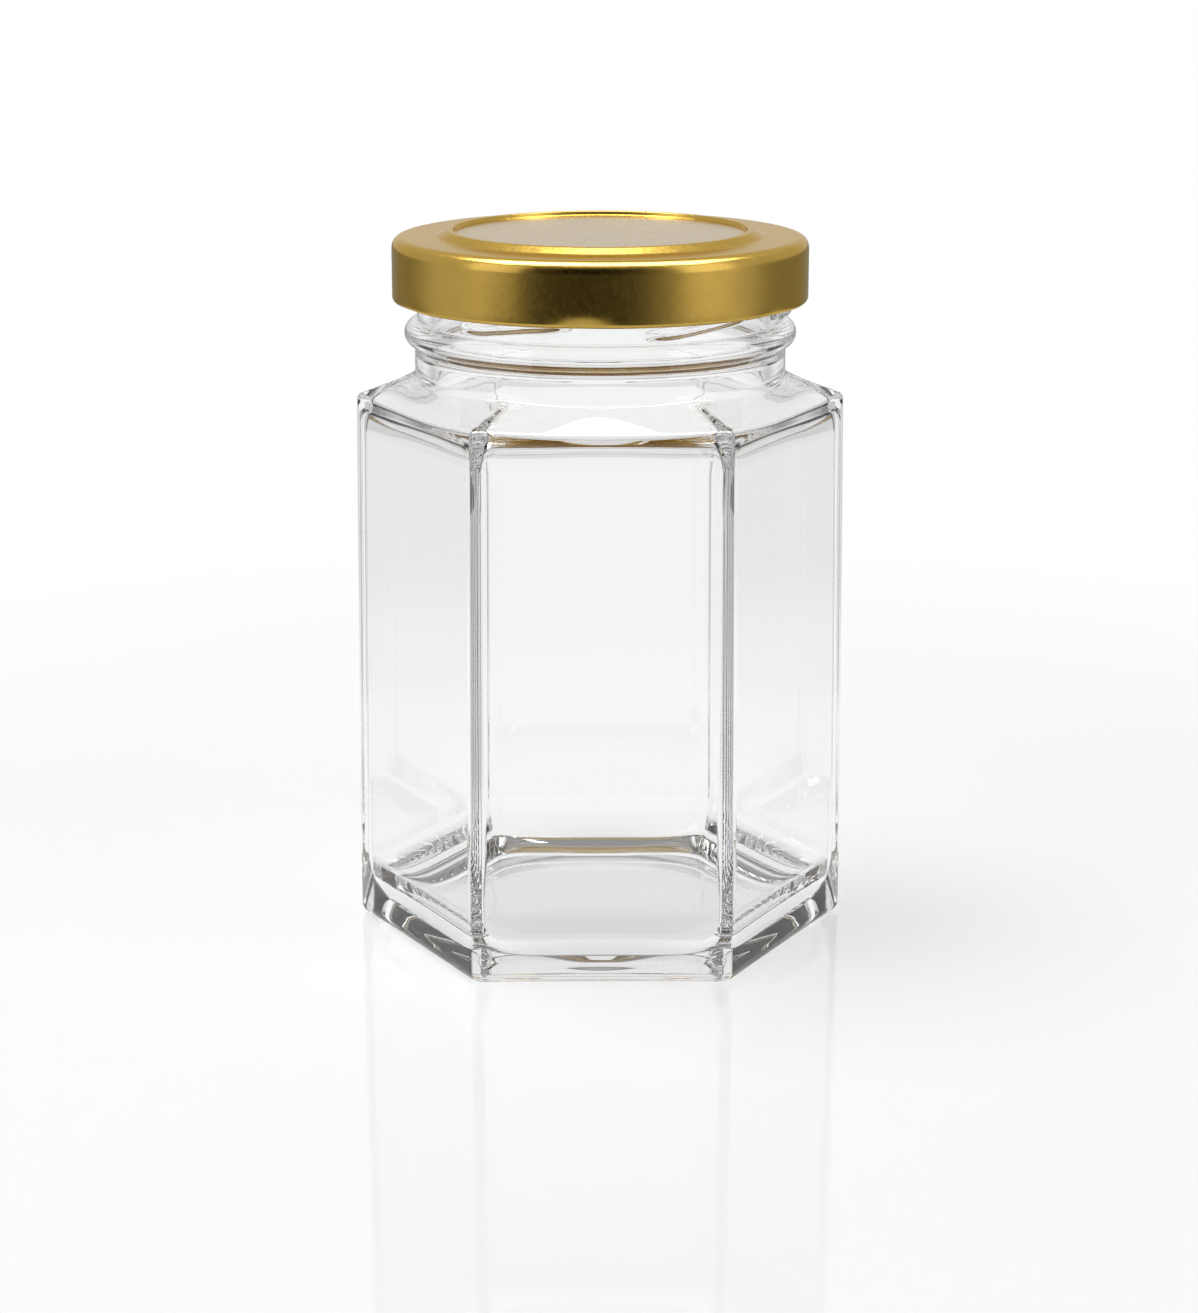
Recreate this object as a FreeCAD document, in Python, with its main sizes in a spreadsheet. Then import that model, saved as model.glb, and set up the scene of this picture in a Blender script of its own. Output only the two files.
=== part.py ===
"""Hexagonal glass jar with its twist-off metal cap.

Frame: +Z up, origin at the centre of the foot, one flat side faces -Y and two corners lie on X.
All sizes are in millimetres and live in the spreadsheet "sizes".
"""
import FreeCAD, Part
import math
import os

import Sketcher

SIDES = 6
TURN = 360.0 / SIDES
V = FreeCAD.Vector

SIZES = (
    # glass: sides of the hexagon
    ("foot_flat", 34.95, "axis to a flat at the foot"),
    ("draft", 0.9, "how far a flat leans in from the foot to the shoulder"),
    ("corner_round", 2.4, "rounding of the upright corners"),
    ("foot_round", 1.8, "rounding under the sides"),
    ("panel_depth", 0.28, "how far the label panels lie back"),
    ("heel_top", 5.8, "lower edge of the label panels"),
    ("panel_margin", 0.6, "upper edge of the label panels below the shoulder"),
    ("panel_step", 0.5, "height of the slope at a panel's edge"),
    # glass: heights of the shoulder, neck and mouth
    ("jar_height", 113.05, "sealing land of the mouth"),
    ("neck_drop", 21.85, "foot of the neck below the land"),
    ("shoulder_rise", 5.2, "rise of the shoulder from the sides to the neck"),
    ("bead_drop", 14.95, "middle of the bead below the land"),
    ("ramp_drop", 11.65, "lower end of a thread's ramp below the land"),
    # glass: radii of the neck and mouth
    ("finish_radius", 29.2, "outside of the mouth between the threads"),
    ("neck_step", 0.4, "neck outside the mouth's own radius"),
    ("bead_step", 0.05, "bead's centre line outside the mouth's own radius"),
    ("bead_round", 2.0, "radius of the bead's section"),
    ("lip_wall", 2.6, "thickness of the mouth's wall"),
    ("lip_round", 1.0, "rounding of the lip"),
    # glass: threads
    ("ramp_rise", 1.8, "climb of a ramp from end to end"),
    ("ramp_span", 29.0, "angle that a ramp covers"),
    ("ramp_angle", 17.0, "angle of the first ramp's lower end from the front"),
    ("catch_span", 26.0, "angle of the thread's level part over a lug"),
    ("thread_depth", 1.25, "how far a thread stands out"),
    ("thread_width", 1.8, "height of a thread's section"),
    # glass: hollow
    ("wall", 2.3, "thickness of the sides"),
    ("inner_corner_round", 3.4, "rounding of the hollow's upright corners"),
    ("base_thickness", 2.4, "glass under the hollow at its edge"),
    ("floor_round", 8.0, "rounding between the floor and the walls"),
    ("dome_radius", 22.0, "radius of the dome in the floor"),
    ("dome_rise", 0.6, "height of the dome in the floor"),
    ("kick_radius", 26.0, "radius of the hollow under the foot"),
    ("kick_rise", 0.8, "depth of the hollow under the foot"),
    # cap
    ("cap_room", 3.9, "outside of the skirt outside the mouth's own radius"),
    ("cap_sheet", 0.3, "thickness of the metal"),
    ("cap_drop", 9.85, "lower rim of the cap below the land"),
    ("cap_round", 2.0, "rounding between the skirt and the top"),
    ("ring_inset", 7.1, "outer foot of the raised ring inside the skirt's radius"),
    ("ring_fall", 1.7, "width of the ring's outer slope"),
    ("ring_width", 0.9, "width of the ring's crest"),
    ("ring_slope", 0.4, "width of the ring's inner slope"),
    ("ring_rise", 1.0, "ring's crest above the ledge outside it"),
    ("panel_drop", 0.6, "middle of the cap below the ring's crest"),
    ("curl_round", 0.7, "radius of the curled lower edge"),
    ("lug_span", 15.0, "angle that a lug covers"),
    ("lug_gap", 0.5, "room between a lug's inner face and the mouth"),
    ("lug_height", 1.4, "height of a lug"),
    ("lug_play", 0.15, "room between a lug and the catch over it"),
    ("lug_angle", -5.0, "angle of the first lug from the front"),
)

SHOULDER_FLAT = "( foot_flat - draft )"
NECK_FOOT = "( jar_height - neck_drop )"
SIDE_TOP = f"( {NECK_FOOT} - shoulder_rise )"
PANEL_TOP = f"( {SIDE_TOP} - panel_margin )"
BEAD_HEIGHT = "( jar_height - bead_drop )"
RAMP_START = "( jar_height - ramp_drop )"
NECK_RADIUS = "( finish_radius + neck_step )"
BORE_RADIUS = "( finish_radius - lip_wall )"
CAP_RADIUS = "( finish_radius + cap_room )"
CAP_RIM = "( jar_height - cap_drop )"
LEDGE = "( jar_height + cap_sheet )"
CREST = f"( {LEDGE} + ring_rise )"
PANEL = f"( {CREST} - panel_drop )"
RING_FOOT = f"( {CAP_RADIUS} - ring_inset )"
RING_OUTER = f"( {RING_FOOT} - ring_fall )"
RING_INNER = f"( {RING_OUTER} - ring_width )"
LUG_REACH = "( finish_radius + lug_gap )"

CREST_SHARE = 0.4
OVERLAP = 1
NEARLY_ROUND = 0.97
SHOULDER_STEPS = 6
EDGE_STEPS = 4
NEAR = 0.02


def make_sizes(doc):
    """The spreadsheet of driving dimensions: name, value and meaning in each row."""
    sheet = doc.addObject("Spreadsheet::Sheet", "sizes")
    for row, (alias, value, meaning) in enumerate(SIZES, start=1):
        sheet.set(f"A{row}", alias)
        sheet.set(f"B{row}", str(value))
        sheet.set(f"C{row}", meaning)
        sheet.setAlias(f"B{row}", alias)
    doc.recompute()
    return sheet


def sized(expression):
    """The expression with each name of the spreadsheet written in full."""
    words = []
    for word in expression.replace("(", " ( ").replace(")", " ) ").split():
        words.append(f"sizes.{word}" if word in ALIASES else word)
    return " ".join(words)


ALIASES = {alias for alias, value, meaning in SIZES}


def bind(thing, prop, expression):
    """Tie a property to an expression in the names of the spreadsheet."""
    thing.setExpression(prop, sized(expression))


def number(expression):
    """The present value of an expression in the names of the spreadsheet."""
    value = FreeCAD.ActiveDocument.getObject("sizes").evalExpression(sized(expression))
    return float(getattr(value, "Value", value))


def plane_of(body, role):
    """One of the body's own origin planes or axes."""
    return next(part for part in body.Origin.OriginFeatures if part.Role == role)


def new_body(doc, label):
    body = doc.addObject("PartDesign::Body", label)
    body.Label = label
    body.Placement = FreeCAD.Placement()
    return body


def new_sketch(body, name, role="XY_Plane", lift="0"):
    """An empty sketch on an origin plane, raised along the plane's normal."""
    sketch = body.newObject("Sketcher::SketchObject", name)
    sketch.AttachmentSupport = [(plane_of(body, role), "")]
    sketch.MapMode = "FlatFace"
    bind(sketch, "AttachmentOffset.Base.z", lift)
    return sketch


def dimension(sketch, kind, *where, name, size):
    """A named dimension whose value follows an expression."""
    index = sketch.addConstraint(Sketcher.Constraint(kind, *where, number(size)))
    sketch.renameConstraint(index, name)
    bind(sketch, f"Constraints.{name}", size)


def hexagon(body, name, lift, flat, corner):
    """A regular hexagon with rounded corners: its flats lie at `flat` from the axis."""
    sketch = new_sketch(body, name, lift=lift)
    away = number(flat)
    bend = number(corner)
    spread = (away - bend) / math.cos(math.radians(TURN / 2))
    corners = [math.radians(TURN * side) for side in range(SIDES)]
    centres = [V(spread * math.cos(turn), spread * math.sin(turn), 0) for turn in corners]
    facing = [turn + math.radians(TURN / 2) for turn in corners]
    arcs = []
    lines = []
    for side in range(SIDES):
        circle = Part.Circle(centres[side], V(0, 0, 1), bend)
        start = facing[side] - math.radians(TURN)
        arcs.append(sketch.addGeometry(Part.ArcOfCircle(circle, start, facing[side])))
    for side in range(SIDES):
        out = V(bend * math.cos(facing[side]), bend * math.sin(facing[side]), 0)
        after = centres[(side + 1) % SIDES]
        lines.append(sketch.addGeometry(Part.LineSegment(centres[side] + out, after + out)))
    ring = sketch.addGeometry(Part.Circle(V(0, 0, 0), V(0, 0, 1), spread), True)
    sketch.addConstraint(Sketcher.Constraint("Coincident", ring, 3, -1, 1))
    for side in range(SIDES):
        sketch.addConstraint(Sketcher.Constraint("Tangent", arcs[side], 2, lines[side], 1))
        sketch.addConstraint(Sketcher.Constraint("Tangent", lines[side], 2, arcs[(side + 1) % SIDES], 1))
        sketch.addConstraint(Sketcher.Constraint("PointOnObject", arcs[side], 3, ring))
    for side in range(1, SIDES):
        sketch.addConstraint(Sketcher.Constraint("Equal", arcs[0], arcs[side]))
        sketch.addConstraint(Sketcher.Constraint("Equal", lines[0], lines[side]))
    sketch.addConstraint(Sketcher.Constraint("Horizontal", lines[1]))
    dimension(sketch, "Radius", arcs[0], name="corner", size=corner)
    dimension(sketch, "DistanceY", -1, 1, lines[1], 1, name="flat", size=flat)
    return sketch


def profile(body, name, points, turn=None):
    """A closed outline of straight lines, each point two expressions (across, up), in an upright plane.

    The plane is XZ, or XZ turned about the upright axis by the angle `turn`.
    """
    sketch = new_sketch(body, name, role="XZ_Plane")
    if turn:
        sketch.AttachmentOffset = FreeCAD.Placement(V(0, 0, 0), FreeCAD.Rotation(V(0, 1, 0), number(turn)))
        bind(sketch, "AttachmentOffset.Rotation.Angle", turn)
    spots = [V(number(across), number(up), 0) for across, up in points]
    count = len(spots)
    for index in range(count):
        sketch.addGeometry(Part.LineSegment(spots[index], spots[(index + 1) % count]))
    for index in range(count):
        sketch.addConstraint(Sketcher.Constraint("Coincident", index, 2, (index + 1) % count, 1))
        pin(sketch, index, "X", points[index][0])
        pin(sketch, index, "Y", points[index][1])
    return sketch


def pin(sketch, index, way, size):
    """Fix one coordinate of a line's first point."""
    if size == "0":
        axis = -2 if way == "X" else -1
        sketch.addConstraint(Sketcher.Constraint("PointOnObject", index, 1, axis))
    else:
        dimension(sketch, f"Distance{way}", -1, 1, index, 1, name=f"p{index}{way}", size=size)


def revolve(body, name, sketch, kind="Revolution"):
    """A full turn of a profile about the upright axis."""
    turned = body.newObject(f"PartDesign::{kind}", name)
    turned.Profile = sketch
    turned.ReferenceAxis = (sketch, ["V_Axis"])
    turned.Angle = 360
    return turned


def loft(body, name, sections, kind="Additive"):
    """A solid, or a cut, ruled straight from each section to the next."""
    shape = body.newObject(f"PartDesign::{kind}Loft", name)
    shape.Profile = sections[0]
    shape.Sections = sections[1:]
    shape.Ruled = True
    return shape


def round_edges(body, name, base, wanted, radius):
    """Round the edges of `base` for which wanted(edge) is true."""
    body.Document.recompute()
    names = [f"Edge{index}" for index, edge in enumerate(base.Shape.Edges, start=1) if wanted(edge)]
    if not names:
        raise RuntimeError(f"{name}: no edge to round")
    fillet = body.newObject("PartDesign::Fillet", name)
    fillet.Base = (base, names)
    bind(fillet, "Radius", radius)
    return fillet


def pattern(body, name, features, count=SIDES):
    """Copies of some features all round the upright axis."""
    copies = body.newObject("PartDesign::PolarPattern", name)
    copies.Originals = features
    copies.Axis = (plane_of(body, "Z_Axis"), [""])
    copies.Angle = 360
    copies.Occurrences = count
    body.Tip = copies
    return copies


def level_ring(edge, radius, height):
    """True for a full circle of this radius lying at this height."""
    box = edge.BoundBox
    level = max(abs(box.ZMin - height), abs(box.ZMax - height)) < NEAR
    return level and abs(box.XMax - radius) < NEAR and abs(box.XMin + radius) < NEAR


def side_flat(height):
    """Distance from the axis to a side at a height: the sides lean in towards the shoulder."""
    return f"( foot_flat - draft * ( {height} ) / {SIDE_TOP} )"


def turned_edge(radius):
    """Heights and insets that go round a quarter circle, from lying flat to upright."""
    spots = []
    for step in range(EDGE_STEPS + 1):
        turn = math.radians(90.0 * step / EDGE_STEPS)
        spots.append((f"{radius} * {1 - math.cos(turn):.5f}", f"{radius} * {1 - math.sin(turn):.5f}"))
    return spots


def make_sides(body):
    """The six sides, with label panels that lie back between the heel and the shoulder."""
    foot = turned_edge("foot_round")
    sections = foot + [
        ("heel_top", "0"),
        ("heel_top + panel_step", "panel_depth"),
        (f"{PANEL_TOP} - panel_step", "panel_depth"),
        (PANEL_TOP, "0"),
        (SIDE_TOP, "0"),
    ]
    outlines = [hexagon(body, f"side_outline_{index}", height, f"{side_flat(height)} - {inset}",
                        f"corner_round - {inset}")
                for index, (height, inset) in enumerate(sections)]
    loft(body, "sides", outlines)


def shoulder_shape(share):
    """How far the flats and the roundings have gone to the neck's circle at a share of the rise.

    The flats move in slowly at first and then faster; the roundings start to open at a third of the way.
    """
    fall = 0.25 * share + 0.75 * share ** 1.6
    bend = max(0.0, (share - 0.3) / 0.7) ** 1.3
    return fall, bend


def shoulder_sections(body, tag, wide, narrow, corner_low):
    """Rounded hexagons from the sides' top to the neck's foot: flat `wide` turns into radius `narrow`."""
    outlines = []
    for step in range(SHOULDER_STEPS + 1):
        share = step / SHOULDER_STEPS
        fall, bend = shoulder_shape(share)
        flat = f"{wide} + ( {narrow} - {wide} ) * {fall:.5f}"
        corner = f"{corner_low} + ( {narrow} - {corner_low} ) * {NEARLY_ROUND * bend:.5f}"
        height = f"{SIDE_TOP} + shoulder_rise * {share:.5f}"
        outlines.append(hexagon(body, f"{tag}_{step}", height, flat, corner))
    return outlines


def make_neck(body):
    """The neck, the bead under the cap and the mouth, as far as its lip."""
    outline = profile(body, "neck_outline", (
        ("0", SIDE_TOP),
        (f"{NECK_RADIUS} - {OVERLAP}", SIDE_TOP),
        (NECK_RADIUS, f"{NECK_FOOT} - {OVERLAP}"),
        (NECK_RADIUS, BEAD_HEIGHT),
        ("finish_radius", BEAD_HEIGHT),
        ("finish_radius", "jar_height"),
        ("0", "jar_height"),
    ))
    revolve(body, "neck", outline)
    bead = body.newObject("PartDesign::AdditiveTorus", "bead")
    bind(bead, "Radius1", "finish_radius + bead_step")
    bind(bead, "Radius2", "bead_round")
    bind(bead, "Placement.Base.z", BEAD_HEIGHT)


def make_threads(body):
    """For each lug of the cap, a ramp that rises to the right and a catch that lies over the lug."""
    half = "thread_width / 2"
    root = "finish_radius - thread_depth / 2"
    crest = "finish_radius + thread_depth"
    section = profile(body, "ramp_section", (
        (root, f"{RAMP_START} - {half}"),
        (crest, f"{RAMP_START} - {half} * {CREST_SHARE}"),
        (crest, f"{RAMP_START} + {half} * {CREST_SHARE}"),
        (root, f"{RAMP_START} + {half}"),
    ), turn="ramp_angle - 90")
    ramp = body.newObject("PartDesign::AdditiveHelix", "ramp")
    ramp.Profile = section
    ramp.ReferenceAxis = (section, ["V_Axis"])
    ramp.Mode = "height-turns-angle"
    bind(ramp, "Height", "ramp_rise")
    bind(ramp, "Turns", "ramp_span / 360")
    lug_top = f"( {CAP_RIM} + lug_height + lug_play )"
    section = profile(body, "catch_section", (
        (root, lug_top),
        (crest, lug_top),
        (crest, f"{lug_top} + {half}"),
        (root, f"{lug_top} + thread_width"),
    ), turn="lug_angle - 90")
    catch = part_turn(body, "catch", section, "catch_span")
    pattern(body, "threads", [ramp, catch])


def part_turn(body, name, section, span):
    """A profile turned half of `span` each way about the upright axis."""
    turned = revolve(body, name, section)
    turned.Midplane = True
    bind(turned, "Angle", span)
    return turned


def make_hollow(body):
    """The room inside: a hexagon with wide corners that closes in to the round mouth."""
    flat = f"( {side_flat('base_thickness')} - wall )"
    sections = [hexagon(body, f"hollow_floor_{index}", f"base_thickness + {height}", f"{flat} - {inset}",
                        "inner_corner_round")
                for index, (height, inset) in enumerate(turned_edge("floor_round"))]
    inner_flat = f"( {SHOULDER_FLAT} - wall )"
    sections.append(hexagon(body, "hollow_side", SIDE_TOP, inner_flat, "inner_corner_round"))
    loft(body, "room", sections, kind="Subtractive")
    narrowing = shoulder_sections(body, "hollow_shoulder", inner_flat, BORE_RADIUS, "inner_corner_round")
    loft(body, "narrowing", narrowing, kind="Subtractive")
    mouth = new_sketch(body, "mouth_circle", lift="jar_height")
    mouth.addGeometry(Part.Circle(V(0, 0, 0), V(0, 0, 1), number(BORE_RADIUS)))
    mouth.addConstraint(Sketcher.Constraint("Coincident", 0, 3, -1, 1))
    dimension(mouth, "Radius", 0, name="bore", size=BORE_RADIUS)
    bore = body.newObject("PartDesign::Pocket", "bore")
    bore.Profile = mouth
    bind(bore, "Length", f"neck_drop + {OVERLAP} / 5")


def cap_of_ball(body, name, kind, foot, radius, rise):
    """A low round dome on the height `foot`, turned from a triangle with a bowed side."""
    sketch = new_sketch(body, f"{name}_outline", role="XZ_Plane")
    wide = number(radius)
    high = number(rise)
    base = number(foot)
    ball = (wide * wide + high * high) / (2 * high)
    middle = V(0, base + high - ball, 0)
    lean = math.asin(wide / ball)
    circle = Part.Circle(middle, V(0, 0, 1), ball)
    sketch.addGeometry(Part.ArcOfCircle(circle, math.pi / 2 - lean, math.pi / 2))
    sketch.addGeometry(Part.LineSegment(V(0, base + high, 0), V(0, base, 0)))
    sketch.addGeometry(Part.LineSegment(V(0, base, 0), V(wide, base, 0)))
    sketch.addConstraint(Sketcher.Constraint("Coincident", 0, 2, 1, 1))
    sketch.addConstraint(Sketcher.Constraint("Coincident", 1, 2, 2, 1))
    sketch.addConstraint(Sketcher.Constraint("Coincident", 2, 2, 0, 1))
    sketch.addConstraint(Sketcher.Constraint("PointOnObject", 0, 3, -2))
    sketch.addConstraint(Sketcher.Constraint("Vertical", 1))
    sketch.addConstraint(Sketcher.Constraint("Horizontal", 2))
    sketch.addConstraint(Sketcher.Constraint("PointOnObject", 1, 1, -2))
    dimension(sketch, "DistanceX", -1, 1, 0, 1, name="reach", size=radius)
    dimension(sketch, "DistanceY", 1, 2, 1, 1, name="rise", size=rise)
    if foot == "0":
        sketch.addConstraint(Sketcher.Constraint("PointOnObject", 1, 2, -1))
    else:
        dimension(sketch, "DistanceY", -1, 1, 1, 2, name="foot", size=foot)
    revolve(body, name, sketch, kind)


def make_jar(doc):
    """The glass: sides, shoulder, neck and threads round a hollow, with a rounded lip."""
    body = new_body(doc, "glass_jar")
    make_sides(body)
    outside = shoulder_sections(body, "shoulder_outline", SHOULDER_FLAT, NECK_RADIUS, "corner_round")
    loft(body, "shoulder", outside)
    make_neck(body)
    make_hollow(body)
    cap_of_ball(body, "dome", "Revolution", "base_thickness", "dome_radius", "dome_rise")
    cap_of_ball(body, "kick", "Groove", "0", "kick_radius", "kick_rise")
    make_threads(body)
    lip = [number("finish_radius"), number(BORE_RADIUS)]
    height = number("jar_height")
    round_edges(body, "lip", body.Tip,
                lambda edge: any(level_ring(edge, radius, height) for radius in lip), "lip_round")
    return body


def make_cap(doc):
    """The pressed metal cap: a flat middle, a raised ring, a skirt, a curled edge and lugs."""
    body = new_body(doc, "gold_cap")
    outline = profile(body, "cap_outline", (
        ("0", PANEL),
        (f"{RING_INNER} - ring_slope", PANEL),
        (RING_INNER, CREST),
        (RING_OUTER, CREST),
        (RING_FOOT, LEDGE),
        (CAP_RADIUS, LEDGE),
        (CAP_RADIUS, CAP_RIM),
        ("0", CAP_RIM),
    ))
    blank = revolve(body, "blank", outline)
    skirt = number(CAP_RADIUS)
    ledge = number(LEDGE)
    drawn = round_edges(body, "drawn_edge", blank, lambda edge: level_ring(edge, skirt, ledge), "cap_round")
    doc.recompute()
    rim = number(CAP_RIM)
    under = next(f"Face{index}" for index, face in enumerate(drawn.Shape.Faces, start=1)
                 if face.BoundBox.ZMax < rim + NEAR)
    sheet = body.newObject("PartDesign::Thickness", "pressed_sheet")
    sheet.Base = (drawn, [under])
    sheet.Reversed = True
    sheet.Join = "Intersection"
    bind(sheet, "Value", "cap_sheet")
    curl_ring = f"{CAP_RADIUS} - curl_round"
    curl = body.newObject("PartDesign::AdditiveTorus", "curl")
    bind(curl, "Radius1", curl_ring)
    bind(curl, "Radius2", "curl_round")
    bind(curl, "Placement.Base.z", f"{CAP_RIM} + curl_round")
    section = profile(body, "lug_section", (
        (LUG_REACH, f"{CAP_RIM} + curl_round / 2"),
        (curl_ring, CAP_RIM),
        (curl_ring, f"{CAP_RIM} + curl_round * 2"),
        (LUG_REACH, f"{CAP_RIM} + lug_height"),
    ), turn="lug_angle - 90")
    lug = part_turn(body, "lug", section, "lug_span")
    pattern(body, "lugs", [lug])
    return body


def main():
    doc = FreeCAD.newDocument("hexagonal_jar")
    make_sizes(doc)
    bodies = [make_jar(doc), make_cap(doc)]
    doc.recompute()
    check(doc, bodies)
    os.makedirs("parts", exist_ok=True)
    for body in bodies:
        body.Shape.exportStep(os.path.join("parts", f"{body.Label}.step"))


def check(doc, bodies):
    """Stop if any feature failed or any piece isn't one sound solid."""
    for thing in doc.Objects:
        if "Invalid" in thing.State or "Error" in thing.State:
            raise RuntimeError(f"{thing.Label} failed: {thing.State}")
    for body in bodies:
        shape = body.Shape
        if shape.isNull() or not shape.isValid() or len(shape.Solids) != 1:
            raise RuntimeError(f"{body.Label} isn't one sound solid")
        print(body.Label, "volume", round(shape.Volume, 1), "box", shape.BoundBox)


main()
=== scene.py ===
"""Looks of the hexagonal glass jar with its gold twist-off cap.

The jar and the cap are each one closed lathe-like skin: a stack of rings, from the middle of the
underside round the outside, over the rim and back along the inside. Sizes of the jar and the cap
are in millimetres; the materials and the studio work in metres.
"""
import math

import bpy
import numpy as np
from mathutils import Matrix, Vector


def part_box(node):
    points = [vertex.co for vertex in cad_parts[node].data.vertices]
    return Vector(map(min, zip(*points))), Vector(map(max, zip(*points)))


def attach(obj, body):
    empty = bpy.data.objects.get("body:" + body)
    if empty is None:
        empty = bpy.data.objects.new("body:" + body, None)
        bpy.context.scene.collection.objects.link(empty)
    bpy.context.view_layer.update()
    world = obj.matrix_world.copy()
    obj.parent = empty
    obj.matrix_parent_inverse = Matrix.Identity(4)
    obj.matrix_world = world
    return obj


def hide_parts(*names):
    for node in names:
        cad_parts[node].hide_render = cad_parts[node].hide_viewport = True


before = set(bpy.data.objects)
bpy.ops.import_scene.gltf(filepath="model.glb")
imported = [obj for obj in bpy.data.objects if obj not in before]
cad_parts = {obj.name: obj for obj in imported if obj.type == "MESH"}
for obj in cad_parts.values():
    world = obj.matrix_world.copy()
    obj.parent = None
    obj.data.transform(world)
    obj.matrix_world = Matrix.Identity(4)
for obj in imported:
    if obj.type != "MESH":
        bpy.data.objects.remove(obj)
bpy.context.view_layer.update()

MM = 0.001

# --- the jar's outside: sizes as in the CAD, or within a millimetre of them ---------------------
SIDES = 6
JAR_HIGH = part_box("glass_jar")[1] / MM
JAR_HEIGHT = JAR_HIGH.z
FOOT_LEAN = 0.014  # what the foot's rounding takes off the leaning flat, on one side
FOOT_FLAT = JAR_HIGH.y + FOOT_LEAN
SHOULDER_FLAT = 34.05
SIDE_TOP = 86.0
CORNER_ROUND = 2.4
CORNER_SHARP = 1.4
SHARPEN_START = 5.0
SHARPEN_SPAN = 24.0
FOOT_ROUND = 2.0
KICK_RADIUS = 26.0
KICK_RISE = 0.8
EDGE_HEIGHT = 87.1
EDGE_LIFT = 0.7
EDGE_ROUND = 1.2

# --- the panels set back in the sides ---------------------------------------------------------
PANEL_DEPTH = 0.2
HEEL_TOP = 5.8
PANEL_TOP = 86.2
PANEL_STEP = 0.9
HEEL_SLOPE = 8.0
PANEL_MARGIN = 0.9
PANEL_CORNER = 3.0

# --- neck, bead, threads and lip --------------------------------------------------------------
NECK_FOOT = 91.2
NECK_RADIUS = 29.6
NECK_FILLET = 1.6
FINISH_RADIUS = 29.2
BEAD_HEIGHT = 98.1
BEAD_RING = 29.25
BEAD_ROUND = 2.0
RAMP_START = 101.4
RAMP_RISE = 1.8
RAMP_SPAN = 29.0
RAMP_ANGLE = 17.0
RAMP_CREST = 1.35
RAMP_TAPER = 0.12
THREAD_DEPTH = 1.25
THREAD_WIDTH = 1.8
LIP_ROUND = 1.0

# --- the hollow -------------------------------------------------------------------------------
WALL = 2.3
BORE_RADIUS = 26.6
BORE_FOOT = NECK_FOOT + 2
INNER_CORNER_ROUND = 1.2
INNER_EDGE = 84.6
INNER_EDGE_ROUND = 9.0
INNER_NECK_FOOT = 89.5
INNER_NECK_FILLET = 7.0
FLOOR_EDGE = 2.4
FLOOR_DOME = 0.6
FLOOR_SOFT = 26.0
FLOOR_ROUND = 10.5

# --- the cap ----------------------------------------------------------------------------------
CAP_LOW, CAP_HIGH = [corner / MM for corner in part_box("gold_cap")]
CAP_RADIUS = CAP_HIGH.x
CAP_SHEET = 0.3
CAP_DROP = JAR_HEIGHT - CAP_LOW.z
CAP_ROUND = 2.0
LEDGE_FALL = 0.05
RING_FOOT = 26.0
RING_OUTER = 24.3
RING_INNER = 23.4
RING_SLOPE = 0.25
RING_RISE = CAP_HIGH.z - JAR_HEIGHT - CAP_SHEET
RING_CREASE = 0.12
RING_SHOULDER = 0.7
LEDGE_FILLET = 1.2
PANEL_DROP = 0.6
POLE_RADIUS = 0.3
CURL_ROUND = 0.7
CURL_TURN = 250.0
LUG_ANGLE = -5.0
DENT_DEPTH = 0.35
DENT_HEIGHT = 2.3
DENT_SPAN = 13.0


# --- rings and skins --------------------------------------------------------------------------
CORNER_ZONE = (0.0, 1.8)
EDGE_ZONE = (2.1, 4.2)
FACE_ZONE = 5.2


def ring_angles():
    """Angles round the axis from a corner on +X, crowded over the upright corners and the panels' edges.

    The zones are distances along a side from its corner; between them the angles are coarse.
    """
    wide = FOOT_FLAT * math.tan(math.pi / SIDES)
    corner = np.linspace(*CORNER_ZONE, 13)
    edge = np.linspace(*EDGE_ZONE, 5)
    face = wide - (wide - FACE_ZONE) * np.linspace(1, 0, 7)
    across = wide - np.concatenate([corner, edge, face])
    half = math.pi / SIDES - np.arctan(across / FOOT_FLAT)
    sector = np.concatenate([half, math.pi * 2 / SIDES - half[-2:0:-1]])
    return np.concatenate([sector + side * math.tau / SIDES for side in range(SIDES)])


def hexagon(angles, flat, bend):
    """Distance from the axis to a rounded hexagon with its flats at `flat`."""
    half = math.pi / SIDES
    off = np.abs((angles + half) % (2 * half) - half)
    centre = (flat - bend) / math.cos(half)
    reach = centre + bend * math.cos(half)
    touch = math.atan2(bend * math.sin(half), reach)
    root = np.clip(bend ** 2 - (centre * np.sin(off)) ** 2, 0, None)
    arc = centre * np.cos(off) + np.sqrt(root)
    return np.where(off <= touch, arc, flat / np.cos(half - off))


def skin(name, rings):
    """A closed smooth mesh over rings of points, with a pole at each end of the stack."""
    count = len(rings[0])
    points = np.concatenate(rings) * MM
    first = points[:count].mean(axis=0)
    last = points[-count:].mean(axis=0)
    verts = np.vstack([points, first, last])
    faces = []
    for row in range(len(rings) - 1):
        low = row * count
        high = low + count
        for index in range(count):
            after = (index + 1) % count
            faces.append((low + index, low + after, high + after, high + index))
    start = len(points)
    top = (len(rings) - 1) * count
    for index in range(count):
        after = (index + 1) % count
        faces.append((start, after, index))
        faces.append((start + 1, top + index, top + after))
    mesh = bpy.data.meshes.new(name)
    mesh.from_pydata(verts.tolist(), [], faces)
    mesh.validate()
    mesh.shade_smooth()
    piece = bpy.data.objects.new(name, mesh)
    bpy.context.scene.collection.objects.link(piece)
    return piece


def around(angles, radius, height):
    """One ring of points; radius and height are numbers or one value per angle."""
    radius = np.broadcast_to(radius, angles.shape)
    height = np.broadcast_to(height, angles.shape)
    return np.stack([radius * np.cos(angles), radius * np.sin(angles), height], axis=1)


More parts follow.
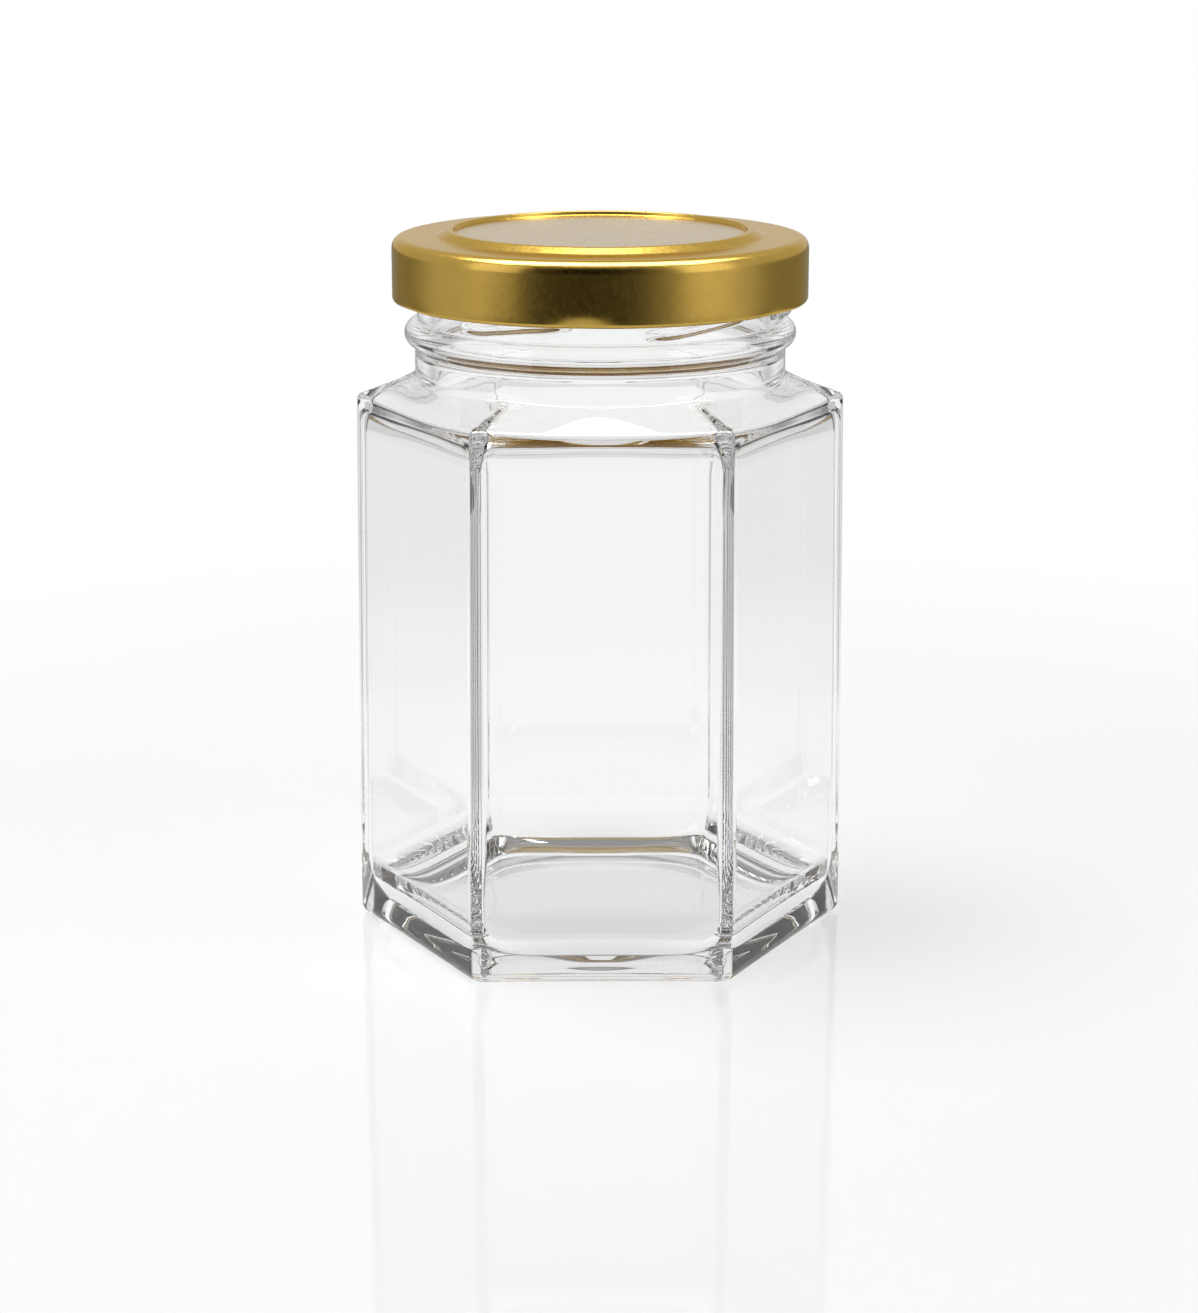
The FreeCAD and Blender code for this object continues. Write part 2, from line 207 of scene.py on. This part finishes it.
def arc(centre, radius, start, end, steps):
    """Points (across, up) on an arc, with angles in degrees from the outward direction."""
    turns = np.radians(np.linspace(start, end, steps + 1))
    return [(centre[0] + radius * math.cos(turn), centre[1] + radius * math.sin(turn)) for turn in turns]


def side_flat(height):
    """Distance from the axis to a side's plane, which leans in."""
    return FOOT_FLAT - (FOOT_FLAT - SHOULDER_FLAT) * height / SIDE_TOP


def ease(share):
    """Smooth step from 0 to 1."""
    share = np.clip(share, 0, 1)
    return share * share * (3 - 2 * share)


# --- the jar ----------------------------------------------------------------------------------
def bend_path(points, radii, steps):
    """Rings along an outline whose corners are rounded; every point is a pair of per-angle arrays."""
    rings = [points[0]]
    for before, here, after, radius in zip(points, points[1:], points[2:], radii):
        back = [b - h for b, h in zip(before, here)]
        on = [a - h for a, h in zip(after, here)]
        back_length = np.hypot(*back)
        on_length = np.hypot(*on)
        back = [value / back_length for value in back]
        on = [value / on_length for value in on]
        opening = np.arccos(np.clip(back[0] * on[0] + back[1] * on[1], -1, 1))
        cut = np.minimum(radius / np.tan(opening / 2), 0.49 * np.minimum(back_length, on_length))
        for step in range(steps + 1):
            share = step / steps
            pull = (1 - share) ** 2
            push = share ** 2
            rings.append(tuple(h + cut * (b * pull + o * push) for h, b, o in zip(here, back, on)))
    rings.append(points[-1])
    return rings


def cornerness(plan, flat):
    """0 in the middle of a flat, 1 at an upright corner."""
    return (plan - flat) / np.max(plan - flat)


def panel_inset(angles, height):
    """How far the label panels lie back: a rounded rectangle on each side."""
    half = math.pi / SIDES
    across = side_flat(height) * np.abs(np.tan((angles % (2 * half)) - half))
    wide = side_flat(height) * math.tan(half) - PANEL_MARGIN
    middle = (HEEL_TOP + PANEL_TOP) / 2
    tall = (PANEL_TOP - HEEL_TOP) / 2
    over = np.hypot(np.clip(across - wide + PANEL_CORNER, 0, None),
                    np.clip(np.abs(height - middle) - tall + PANEL_CORNER, 0, None)) - PANEL_CORNER
    return PANEL_DEPTH * ease(-over / PANEL_STEP) * ease((height - HEEL_TOP) / HEEL_SLOPE)


def corner_bend(height):
    """Rounding of the upright corners, which are crisper above the heel."""
    return CORNER_ROUND + (CORNER_SHARP - CORNER_ROUND) * ease((height - SHARPEN_START) / SHARPEN_SPAN)


def outside(angles):
    """Rings (radius, height) from the middle of the underside up to the neck."""
    one = np.ones_like(angles)
    rings = []
    for share in np.linspace(0.03, 1, 16):
        rings.append((KICK_RADIUS * share * one, KICK_RISE * (1 - share ** 2) * one))
    low = hexagon(angles, side_flat(0), CORNER_ROUND)
    heel = HEEL_TOP - 1
    above = hexagon(angles, side_flat(heel), corner_bend(heel))
    foot = [(KICK_RADIUS * one, 0 * one), (low, 0 * one), (above, heel * one)]
    rings += bend_path(foot, [FOOT_ROUND], 10)[1:]
    heel_steps = np.arange(heel + 0.3, HEEL_TOP + 5, 0.3)
    side_steps = np.linspace(HEEL_TOP + 6, PANEL_TOP - 6, 24)
    top_steps = np.arange(PANEL_TOP - 5, PANEL_TOP - 0.2, 0.25)
    for height in np.concatenate([heel_steps, side_steps, top_steps]):
        plan = hexagon(angles, side_flat(height), corner_bend(height))
        rings.append((plan - panel_inset(angles, height), height * one))
    last, low = rings[-1]
    high = hexagon(angles, side_flat(SIDE_TOP), CORNER_SHARP)
    edge = EDGE_HEIGHT + EDGE_LIFT * cornerness(high, SHOULDER_FLAT)
    rings += bend_path([(last, low), (high, edge), (NECK_RADIUS * one, NECK_FOOT * one),
                        (NECK_RADIUS * one, (NECK_FOOT + 3) * one)], [EDGE_ROUND, NECK_FILLET], 12)[1:]
    return rings


def neck_points():
    """Points (across, up) from the neck over the bead and the lip into the bore."""
    start = math.degrees(math.acos((NECK_RADIUS - BEAD_RING) / BEAD_ROUND))
    bead = arc((BEAD_RING, BEAD_HEIGHT), BEAD_ROUND, -start, 90, 24)
    top = JAR_HEIGHT - LIP_ROUND - LEDGE_FALL / 2
    above_bead = BEAD_HEIGHT + BEAD_ROUND + 0.05
    finish = [(FINISH_RADIUS, height) for height in np.linspace(above_bead, top, 60)]
    lip = arc((FINISH_RADIUS - LIP_ROUND, top), LIP_ROUND, 0, 90, 8)[1:]
    inner_lip = arc((BORE_RADIUS + LIP_ROUND, top), LIP_ROUND, 90, 180, 8)
    bore = [(BORE_RADIUS, height) for height in np.linspace(top, BORE_FOOT, 12)[1:]]
    return bead + finish + lip + inner_lip + bore


def inside(angles):
    """Rings (radius, height) from the bore down the hollow to the middle of its floor."""
    one = np.ones_like(angles)
    high = hexagon(angles, SHOULDER_FLAT - WALL, INNER_CORNER_ROUND)
    edge = INNER_EDGE + EDGE_LIFT * cornerness(high, SHOULDER_FLAT - WALL)
    below_edge = INNER_EDGE - 8
    corners = [(BORE_RADIUS * one, BORE_FOOT * one), (BORE_RADIUS * one, INNER_NECK_FOOT * one),
               (high, edge), (high, below_edge * one)]
    rings = bend_path(corners, [INNER_NECK_FILLET, INNER_EDGE_ROUND], 14)[1:]
    floor_top = FLOOR_EDGE + FLOOR_ROUND
    for height in np.linspace(below_edge, floor_top, 30)[1:]:
        rings.append((hexagon(angles, side_flat(height) - WALL, INNER_CORNER_ROUND), height * one))
    turn = math.pi / 2 * ease(np.linspace(0, 1, 34))
    across = np.cumsum(np.sin(turn)) / np.sum(np.sin(turn))
    down = np.cumsum(np.cos(turn)) / np.sum(np.cos(turn))
    for inset, drop in zip(across, down):
        plan = hexagon(angles, side_flat(floor_top) - WALL, INNER_CORNER_ROUND + FLOOR_SOFT * inset)
        rings.append((plan - FLOOR_ROUND * inset, (floor_top - FLOOR_ROUND * drop) * one))
    end, level = rings[-1]
    for share in np.linspace(1, 0.02, 20)[1:]:
        rings.append((end * share, level + FLOOR_DOME * ease(1.25 * (1 - share))))
    return rings


def thread_lift(angles, height):
    """How far the threads' ramps stand out at a height, round the mouth."""
    pitch = math.tau / SIDES
    along = (angles + math.pi / 2 - math.radians(RAMP_ANGLE)) % pitch
    span = math.radians(RAMP_SPAN)
    middle = RAMP_START + RAMP_RISE * along / span
    body = ease(RAMP_CREST * (1 - np.abs(height - middle) / (THREAD_WIDTH / 2)))
    ends = ease(along / (span * RAMP_TAPER)) * ease((span - along) / (span * RAMP_TAPER))
    return THREAD_DEPTH * body * ends


def make_jar():
    """The glass: from the underside over the outside, the lip and the hollow to its floor."""
    angles = ring_angles()
    rings = [around(angles, radius, height) for radius, height in outside(angles)]
    for across, up in neck_points():
        lift = 0.0
        if abs(across - FINISH_RADIUS) < 0.001:
            lift = thread_lift(angles, up)
        rings.append(around(angles, across + lift, up))
    rings += [around(angles, radius, height) for radius, height in inside(angles)]
    return skin("jar_glass", rings)


# --- the cap's skin -----------------------------------------------------------------------------
GUARD = 0.04  # how far outside a rounding its extra points lie, so that flats beside it shade flat


def rounded(points, radii, steps=9):
    """An open outline with each inner corner rounded."""
    out = [points[0]]
    for before, corner, after, radius in zip(points, points[1:], points[2:], radii):
        here = Vector(corner)
        back = (Vector(before) - here).normalized()
        on = (Vector(after) - here).normalized()
        cut = radius / math.tan(back.angle(on) / 2)
        out.append(tuple(here + back * (cut + GUARD)))
        for step in range(steps + 1):
            share = step / steps
            spot = here + back * cut * (1 - share) ** 2 + on * cut * share ** 2
            out.append(tuple(spot))
        out.append(tuple(here + on * (cut + GUARD)))
    out.append(points[-1])
    return out


def spread(points, gap):
    """The outline with long straight stretches divided."""
    out = [points[0]]
    for start, end in zip(points, points[1:]):
        parts = max(1, math.ceil(math.dist(start, end) / gap))
        for part in range(1, parts + 1):
            share = part / parts
            out.append((start[0] + (end[0] - start[0]) * share, start[1] + (end[1] - start[1]) * share))
    return out


def dent(angles, height):
    """How far the skirt is pressed in over the lugs."""
    pitch = math.tau / SIDES
    off = (angles + math.pi / 2 - math.radians(LUG_ANGLE) + pitch / 2) % pitch - pitch / 2
    near = ease(1 - np.abs(off) / math.radians(DENT_SPAN))
    low = JAR_HEIGHT - CAP_DROP
    return DENT_DEPTH * near * ease(1 - (height - low) / DENT_HEIGHT)


def make_cap():
    """The pressed sheet: over the top and down the skirt, round the curl and back underneath."""
    ledge = JAR_HEIGHT + CAP_SHEET
    crest = ledge + RING_RISE
    panel = crest - PANEL_DROP
    rim = JAR_HEIGHT - CAP_DROP
    outline = [
        (POLE_RADIUS, panel),
        (RING_INNER - RING_SLOPE, panel),
        (RING_INNER, crest),
        (RING_OUTER, crest),
        (RING_FOOT, ledge),
        (CAP_RADIUS, ledge - LEDGE_FALL),
        (CAP_RADIUS, rim + CURL_ROUND),
    ]
    outer = rounded(outline, [RING_CREASE, RING_CREASE, RING_SHOULDER, LEDGE_FILLET, CAP_ROUND])
    curl = arc((CAP_RADIUS - CURL_ROUND, rim + CURL_ROUND), CURL_ROUND, 0, -CURL_TURN, 24)[1:]
    sheet = CAP_SHEET
    under = [
        (CAP_RADIUS - sheet, rim + CURL_ROUND * 1.7),
        (CAP_RADIUS - sheet, ledge - LEDGE_FALL - sheet),
        (RING_FOOT - sheet, ledge - sheet),
        (RING_OUTER - sheet, crest - sheet),
        (RING_INNER + sheet, crest - sheet),
        (RING_INNER - RING_SLOPE + sheet, panel - sheet),
        (POLE_RADIUS, panel - sheet),
    ]
    inner = rounded(under, [1.3, sheet, sheet, 0.2, sheet])
    points = spread(outer, 0.8) + curl + spread(inner, 1.5)
    angles = np.linspace(0, math.tau, 360, endpoint=False)
    rings = [around(angles, across - dent(angles, up) * (across > RING_FOOT), up) for across, up in points]
    return skin("cap_metal", rings[::-1])


# --- materials --------------------------------------------------------------------------------
def new_material(name):
    """An empty node material, with its nodes and links."""
    material = bpy.data.materials.new(name)
    material.use_nodes = True
    nodes = material.node_tree.nodes
    nodes.clear()
    return material, nodes, material.node_tree.links


def add(nodes, kind, **values):
    """A node with some of its sockets or properties set."""
    node = nodes.new(kind)
    for key, value in values.items():
        if key in node.inputs.keys():
            node.inputs[key].default_value = value
        else:
            setattr(node, key, value)
    return node


def remap(nodes, links, value, low, high, start=0.0, end=1.0):
    """A smooth step of a value from `start` at low to `end` at high."""
    step = add(nodes, "ShaderNodeMapRange", interpolation_type="SMOOTHSTEP")
    links.new(value, step.inputs["Value"])
    for name, number in zip(("From Min", "From Max", "To Min", "To Max"), (low, high, start, end)):
        step.inputs[name].default_value = number
    return step.outputs[0]


def feed(links, pairs):
    """Set each socket to its number, or link its output."""
    for socket, value in pairs:
        if isinstance(value, (int, float)):
            socket.default_value = value
        else:
            links.new(value, socket)


def maths(nodes, links, operation, first, second):
    """The result of a Math node."""
    node = add(nodes, "ShaderNodeMath", operation=operation)
    feed(links, zip(node.inputs, (first, second)))
    return node.outputs[0]


def blend(nodes, links, share, first, second):
    """The first value where the share is 0, the second where it is 1."""
    pick = add(nodes, "ShaderNodeMix", data_type="FLOAT")
    feed(links, zip((pick.inputs[0], pick.inputs[2], pick.inputs[3]), (share, first, second)))
    return pick.outputs[0]


def bearing(nodes, links, vector, turn):
    """The cosine of a direction's level angle from the front, -Y, turned about the axis; and its height."""
    front = (math.sin(math.radians(turn)), -math.cos(math.radians(turn)), 0)
    level = add(nodes, "ShaderNodeVectorMath", operation="MULTIPLY")
    links.new(vector, level.inputs[0])
    level.inputs[1].default_value = (1, 1, 0)
    unit = add(nodes, "ShaderNodeVectorMath", operation="NORMALIZE")
    links.new(level.outputs[0], unit.inputs[0])
    dot = add(nodes, "ShaderNodeVectorMath", operation="DOT_PRODUCT")
    links.new(unit.outputs[0], dot.inputs[0])
    dot.inputs[1].default_value = front
    split = add(nodes, "ShaderNodeSeparateXYZ")
    links.new(vector, split.inputs[0])
    return dot.outputs["Value"], split.outputs["Z"]


def between(nodes, links, value, rise, fall):
    """1 where the size of a value lies after the step `rise` and before the step `fall`, 0 outside them."""
    size = maths(nodes, links, "ABSOLUTE", value, 0.0)
    before = remap(nodes, links, size, *fall, 1.0, 0.0)
    return maths(nodes, links, "MULTIPLY", before, remap(nodes, links, size, *rise))


HEEL_BAND = (0.003, 0.012)  # metres up from the floor
HEEL_SHADOW = (0.3, 0.87)


def glass_material():
    """Clear glass; its shadow is pale, and darker where the heel is thick."""
    material, nodes, links = new_material("clear_glass")
    out = add(nodes, "ShaderNodeOutputMaterial")
    glass = add(nodes, "ShaderNodeBsdfPrincipled")
    glass.inputs["Base Color"].default_value = (0.978, 0.981, 0.98, 1)
    glass.inputs["Roughness"].default_value = 0.0
    glass.inputs["IOR"].default_value = 1.5
    glass.inputs["Transmission Weight"].default_value = 1.0
    clear = add(nodes, "ShaderNodeBsdfTransparent")
    coords = add(nodes, "ShaderNodeTexCoord")
    place = add(nodes, "ShaderNodeSeparateXYZ")
    links.new(coords.outputs["Object"], place.inputs[0])
    links.new(remap(nodes, links, place.outputs["Z"], *HEEL_BAND, *HEEL_SHADOW), clear.inputs["Color"])
    path = add(nodes, "ShaderNodeLightPath")
    mix = add(nodes, "ShaderNodeMixShader")
    links.new(path.outputs["Is Shadow Ray"], mix.inputs[0])
    links.new(glass.outputs[0], mix.inputs[1])
    links.new(clear.outputs[0], mix.inputs[2])
    links.new(mix.outputs[0], out.inputs["Surface"])
    return material


MIDDLE_FADE = (0.0010, 0.0004)  # metres in from the ring
GRAIN_ROUGHNESS = (0.19, 0.25)


def gold_material():
    """Gold lacquer with a fine grain; the flat middle of the cap has a paler sheen."""
    material, nodes, links = new_material("gold_lacquer")
    out = add(nodes, "ShaderNodeOutputMaterial")
    gold = add(nodes, "ShaderNodeBsdfPrincipled")
    gold.inputs["Metallic"].default_value = 1.0
    gold.inputs["Coat Roughness"].default_value = 0.15
    coords = add(nodes, "ShaderNodeTexCoord")
    level = add(nodes, "ShaderNodeVectorMath", operation="MULTIPLY")
    links.new(coords.outputs["Object"], level.inputs[0])
    level.inputs[1].default_value = (1, 1, 0)
    away = add(nodes, "ShaderNodeVectorMath", operation="LENGTH")
    links.new(level.outputs[0], away.inputs[0])
    edge = RING_INNER * MM
    fade = [edge - inset for inset in MIDDLE_FADE]
    middle = remap(nodes, links, away.outputs["Value"], *fade, 1.0, 0.0)
    tint = add(nodes, "ShaderNodeMix", data_type="RGBA")
    links.new(middle, tint.inputs[0])
    tint.inputs[6].default_value = (0.9, 0.74, 0.4, 1)
    tint.inputs[7].default_value = (1, 1, 1, 1)
    links.new(tint.outputs[2], gold.inputs["Specular Tint"])
    links.new(blend(nodes, links, middle, 0.35, 0.3), gold.inputs["Coat Weight"])
    cloud = add(nodes, "ShaderNodeTexNoise", Scale=260.0, Detail=3.0)
    links.new(coords.outputs["Object"], cloud.inputs["Vector"])
    shade = add(nodes, "ShaderNodeValToRGB")
    shade.color_ramp.elements[0].position = 0.3
    shade.color_ramp.elements[0].color = (0.468, 0.3, 0.052, 1)
    shade.color_ramp.elements[1].position = 0.7
    shade.color_ramp.elements[1].color = (0.492, 0.318, 0.059, 1)
    links.new(cloud.outputs["Fac"], shade.inputs["Fac"])
    links.new(shade.outputs["Color"], gold.inputs["Base Color"])
    grain = add(nodes, "ShaderNodeTexNoise", Scale=1500.0, Detail=2.0)
    links.new(coords.outputs["Object"], grain.inputs["Vector"])
    rough = remap(nodes, links, grain.outputs["Fac"], 0.3, 0.7, *GRAIN_ROUGHNESS)
    links.new(rough, gold.inputs["Roughness"])
    links.new(gold.outputs[0], out.inputs["Surface"])
    return material


# --- what metal and glass see of the studio ---------------------------------------------------
DARK_TURN = -9.0  # the dark front that metal sees is turned by this, in degrees
ROOM_SIDE = 0.8
ROOM_FRONT_STEP = (0.35, 1.0)
ROOM_BACK_STEP = (-0.5, 0.1)
SIDE_RISE = (0.2, 0.42)
WORLD_SIDE_FALL = (0.82, 0.975)
FLOOR_SIDE_FALL = (0.7, 0.86)


def metal_room(nodes, links, front, dark, back):
    """What polished metal sees round it: dark in front, light at the sides, another light at the back."""
    side = remap(nodes, links, front, *ROOM_BACK_STEP, back, ROOM_SIDE)
    return blend(nodes, links, remap(nodes, links, front, *ROOM_FRONT_STEP), side, dark)


# --- floor; the distances are from the axis, in metres ----------------------------------------
FLOOR_GLOW = 0.24
FLOOR_METAL = (0.05, 0.34)
PLAIN_FROM = (0.12, 0.3)
MIRROR_FROM = (0.2, 0.32)
# painted light and shade seen through the glass: the floor's fixed glow under the jar and at its sides
UNDER_EDGE = (0.028, 0.042)
PAINTED_GLOW_UNDER_JAR = (0.78, 0.98)
ASIDE_FROM = (0.08, 0.12)
PAINTED_SHADE_ASIDE = 0.58


def floor_material():
    """White and softly reflecting, with a little glow so that it stays white.

    Far off it is plain white to the camera. Seen through glass it is a fixed glow with painted shade,
    greyer under the jar and at the sides, and polished metal sees it dark in front.
    """
    material, nodes, links = new_material("white_floor")
    out = add(nodes, "ShaderNodeOutputMaterial")
    white = add(nodes, "ShaderNodeBsdfPrincipled")
    white.inputs["Base Color"].default_value = (0.86, 0.86, 0.86, 1)
    white.inputs["Roughness"].default_value = 0.05
    white.inputs["Specular IOR Level"].default_value = 0.5
    white.inputs["Emission Color"].default_value = (1, 1, 1, 1)
    white.inputs["Emission Strength"].default_value = FLOOR_GLOW
    far = add(nodes, "ShaderNodeEmission", Strength=1.0)
    through = add(nodes, "ShaderNodeEmission")
    room = add(nodes, "ShaderNodeEmission")
    coords = add(nodes, "ShaderNodeTexCoord")
    front, _ = bearing(nodes, links, coords.outputs["Object"], DARK_TURN)
    away = add(nodes, "ShaderNodeVectorMath", operation="LENGTH")
    links.new(coords.outputs["Object"], away.inputs[0])
    path = add(nodes, "ShaderNodeLightPath")
    links.new(metal_room(nodes, links, front, *FLOOR_METAL), room.inputs["Strength"])
    plain = maths(nodes, links, "MULTIPLY", path.outputs["Is Camera Ray"],
                  remap(nodes, links, away.outputs["Value"], *PLAIN_FROM))
    ahead, _ = bearing(nodes, links, coords.outputs["Object"], 0)
    aside = maths(nodes, links, "MULTIPLY", remap(nodes, links, away.outputs["Value"], *ASIDE_FROM),
                  between(nodes, links, ahead, SIDE_RISE, FLOOR_SIDE_FALL))
    # painted light and shade: seen through glass the floor is a fixed glow, greyer under the jar and darker
    # at the sides
    near = remap(nodes, links, away.outputs["Value"], *UNDER_EDGE, *PAINTED_GLOW_UNDER_JAR)
    links.new(blend(nodes, links, aside, near, PAINTED_SHADE_ASIDE), through.inputs["Strength"])
    mirrored = maths(nodes, links, "GREATER_THAN",
                     path.outputs["Is Glossy Ray"], path.outputs["Is Transmission Ray"])
    gloss = maths(nodes, links, "MULTIPLY", mirrored,
                  remap(nodes, links, away.outputs["Value"], *MIRROR_FROM))
    surface = white.outputs[0]
    for share, shader in ((plain, far), (path.outputs["Is Transmission Ray"], through), (gloss, room)):
        mix = add(nodes, "ShaderNodeMixShader")
        feed(links, zip(mix.inputs, (share, surface, shader.outputs[0])))
        surface = mix.outputs[0]
    links.new(surface, out.inputs["Surface"])
    return material


# --- studio -----------------------------------------------------------------------------------
FLOOR_HALF = 8.0
FLOOR_GAP = 0.00005  # keeps the floor's plane and the jar's foot apart


def make_floor(material):
    corners = [(-FLOOR_HALF, -FLOOR_HALF, 0), (FLOOR_HALF, -FLOOR_HALF, 0),
               (FLOOR_HALF, FLOOR_HALF, 0), (-FLOOR_HALF, FLOOR_HALF, 0)]
    mesh = bpy.data.meshes.new("floor")
    mesh.from_pydata(corners, [], [(0, 1, 2, 3)])
    floor = bpy.data.objects.new("floor", mesh)
    bpy.context.scene.collection.objects.link(floor)
    mesh.materials.append(material)
    floor.location.z = -FLOOR_GAP


def softbox(name, place, target, size, watts):
    """A rectangular lamp that points at a target."""
    light = bpy.data.lights.new(name, "AREA")
    light.shape = "RECTANGLE"
    light.size, light.size_y = size
    light.energy = watts
    lamp = bpy.data.objects.new(name, light)
    bpy.context.scene.collection.objects.link(lamp)
    lamp.location = place
    lamp.rotation_euler = (Vector(target) - Vector(place)).to_track_quat("-Z", "Y").to_euler()
    return lamp


WORLD_FILL = 0.496
WORLD_METAL = (0.0, 0.76)
METAL_ABOVE = 0.72
METAL_UP = (0.5, 0.9)
GLASS_LEVEL = 0.8
GLASS_SIDE = 0.0
GLASS_ABOVE = 0.24
GLASS_UP = (0.32, 0.55)


def make_world():
    """White behind everything; metal sees a dark room in front, glass sees grey at the sides and above."""
    world = bpy.data.worlds.new("studio")
    bpy.context.scene.world = world
    world.use_nodes = True
    nodes = world.node_tree.nodes
    links = world.node_tree.links
    nodes.clear()
    out = add(nodes, "ShaderNodeOutputWorld")
    back = add(nodes, "ShaderNodeBackground")
    back.inputs["Color"].default_value = (1, 1, 1, 1)
    coords = add(nodes, "ShaderNodeTexCoord")
    turned, up = bearing(nodes, links, coords.outputs["Generated"], DARK_TURN)
    front, _ = bearing(nodes, links, coords.outputs["Generated"], 0)
    low = metal_room(nodes, links, turned, *WORLD_METAL)
    metal_sees = blend(nodes, links, remap(nodes, links, up, *METAL_UP), low, METAL_ABOVE)
    sideways = between(nodes, links, front, SIDE_RISE, WORLD_SIDE_FALL)
    above = remap(nodes, links, up, *GLASS_UP)
    glass_sees = maths(nodes, links, "MINIMUM",
                       remap(nodes, links, sideways, 0.0, 1.0, GLASS_LEVEL, GLASS_SIDE),
                       remap(nodes, links, above, 0.0, 1.0, GLASS_LEVEL, GLASS_ABOVE))
    path = add(nodes, "ShaderNodeLightPath")
    level = WORLD_FILL
    rays = {"Is Glossy Ray": metal_sees, "Is Transmission Ray": glass_sees, "Is Camera Ray": 1.0}
    for kind, sees in rays.items():
        level = blend(nodes, links, path.outputs[kind], level, sees)
    links.new(level, back.inputs["Strength"])
    links.new(back.outputs[0], out.inputs["Surface"])


CAMERA_PLACE = (-0.0002, -0.48036, 0.17201)
CAMERA_DOWN = 0.2603
CAMERA_ORBIT = -0.44
CAMERA_LENS = 82.87


def make_camera():
    """The camera of the picture: 480 mm in front, 172 mm up, looking down a little."""
    data = bpy.data.cameras.new("camera")
    data.sensor_width = 36.0
    data.sensor_fit = "AUTO"
    data.lens = CAMERA_LENS
    data.clip_start = 0.01
    camera = bpy.data.objects.new("camera", data)
    bpy.context.scene.collection.objects.link(camera)
    camera.location = CAMERA_PLACE
    camera.rotation_euler = (math.pi / 2 - CAMERA_DOWN, 0, 0)
    orbit = Matrix.Rotation(math.radians(CAMERA_ORBIT), 4, "Z")
    camera.matrix_world = orbit @ Matrix.LocRotScale(camera.location, camera.rotation_euler, None)
    bpy.context.scene.camera = camera


def add_lamps():
    """Three plain softboxes, and one overhead that only metal and gloss mirror."""
    softbox("top", (-0.25, 0.05, 0.9), (0, 0, 0.05), (0.4, 0.4), 2.4)
    softbox("left", (-0.75, -0.45, 0.35), (0, 0, 0.08), (0.5, 0.7), 1.2)
    softbox("right", (0.75, -0.45, 0.35), (0, 0, 0.08), (0.5, 0.7), 1.2)
    sheen = softbox("sheen", (0, -0.02, 0.85), (0, 0, 0.11), (1.3, 0.55), 24)
    sheen.visible_diffuse = False
    sheen.visible_transmission = False


def main():
    """The jar and its cap on a white floor in a studio."""
    make_camera()
    jar = make_jar()
    jar.data.materials.append(glass_material())
    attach(jar, "root")
    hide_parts("glass_jar")
    cap = make_cap()
    cap.data.materials.append(gold_material())
    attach(cap, "root")
    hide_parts("gold_cap")
    make_floor(floor_material())
    make_world()
    add_lamps()
    bpy.context.scene.view_settings.view_transform = "Standard"
    bpy.context.scene.cycles.max_bounces = 40
    bpy.context.scene.cycles.glossy_bounces = 24
    bpy.context.scene.cycles.transmission_bounces = 24


main()
